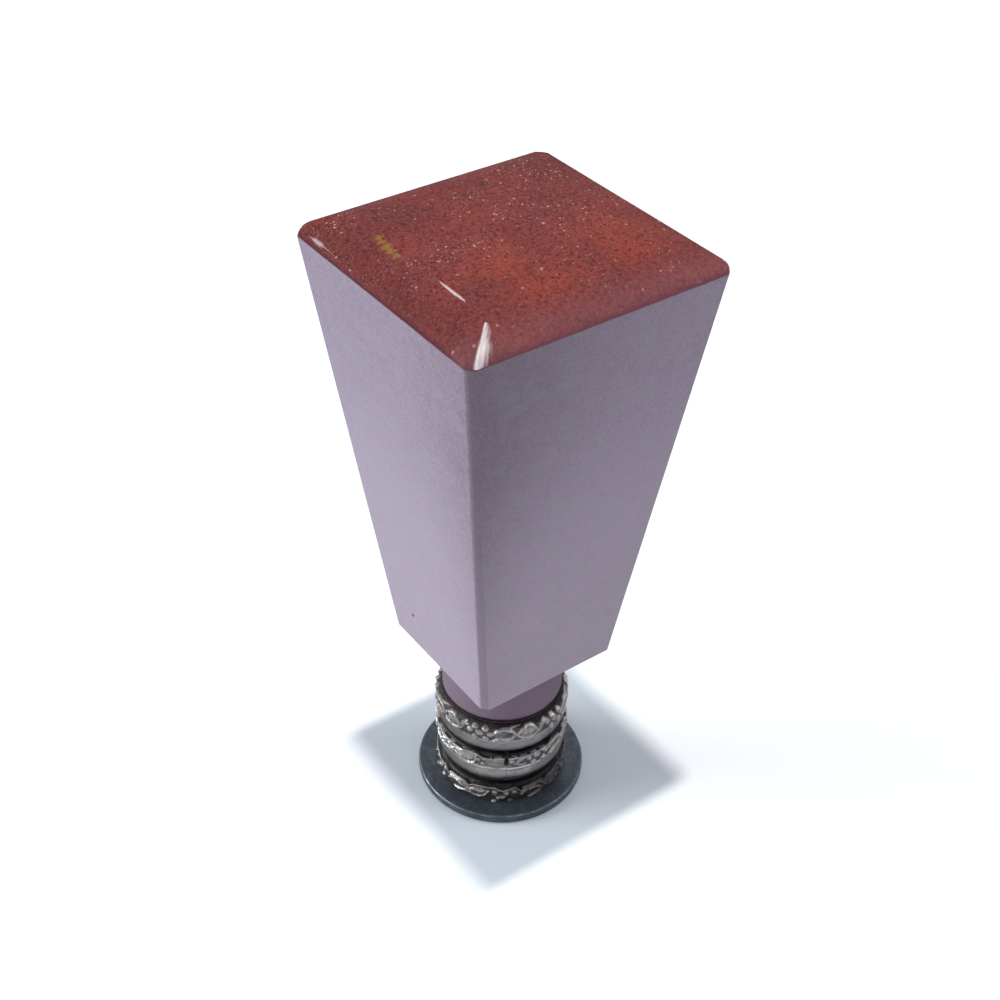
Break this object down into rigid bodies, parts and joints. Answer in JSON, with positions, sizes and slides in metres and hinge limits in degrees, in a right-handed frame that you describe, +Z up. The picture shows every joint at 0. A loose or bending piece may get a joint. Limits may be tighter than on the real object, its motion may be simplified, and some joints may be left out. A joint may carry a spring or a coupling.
{
  "type": "seal stamp",
  "caption": "Desk seal: tapered square hardstone handle with a domed, hipped crown, set in a silver ferrule with flower-and-leaf gallery rings over a round metal matrix",
  "frame": {"origin": "middle of the flat printing face of the matrix, which is also the middle of the underside of the bounding box", "axes": "+Z runs up the seal from the printing face through the neck to the crown; +X and +Y point out of two of the four sides of the stone"},
  "size_m": [0.0302, 0.0306, 0.0749],
  "materials": {
    "stone": "polished crown, satin sides",
    "cement": "dark shellac cement",
    "tarnished_silver": "tarnished",
    "gallery_silver": "worn high points, tarnished recesses",
    "tang_brass": "plain turned",
    "matrix_steel": "dark oxidised steel, bright rim"
  },
  "bodies": {
    "root": {"stone_handle": "stone", "cement_bed": "cement", "ferrule_sleeve": "tarnished_silver", "upper_gallery_ring": "gallery_silver", "middle_gallery_ring": "gallery_silver", "lower_gallery_ring": "gallery_silver", "base_plate": "tarnished_silver", "tang": "tang_brass", "matrix_disc": "matrix_steel"}
  },
  "joints": []
}
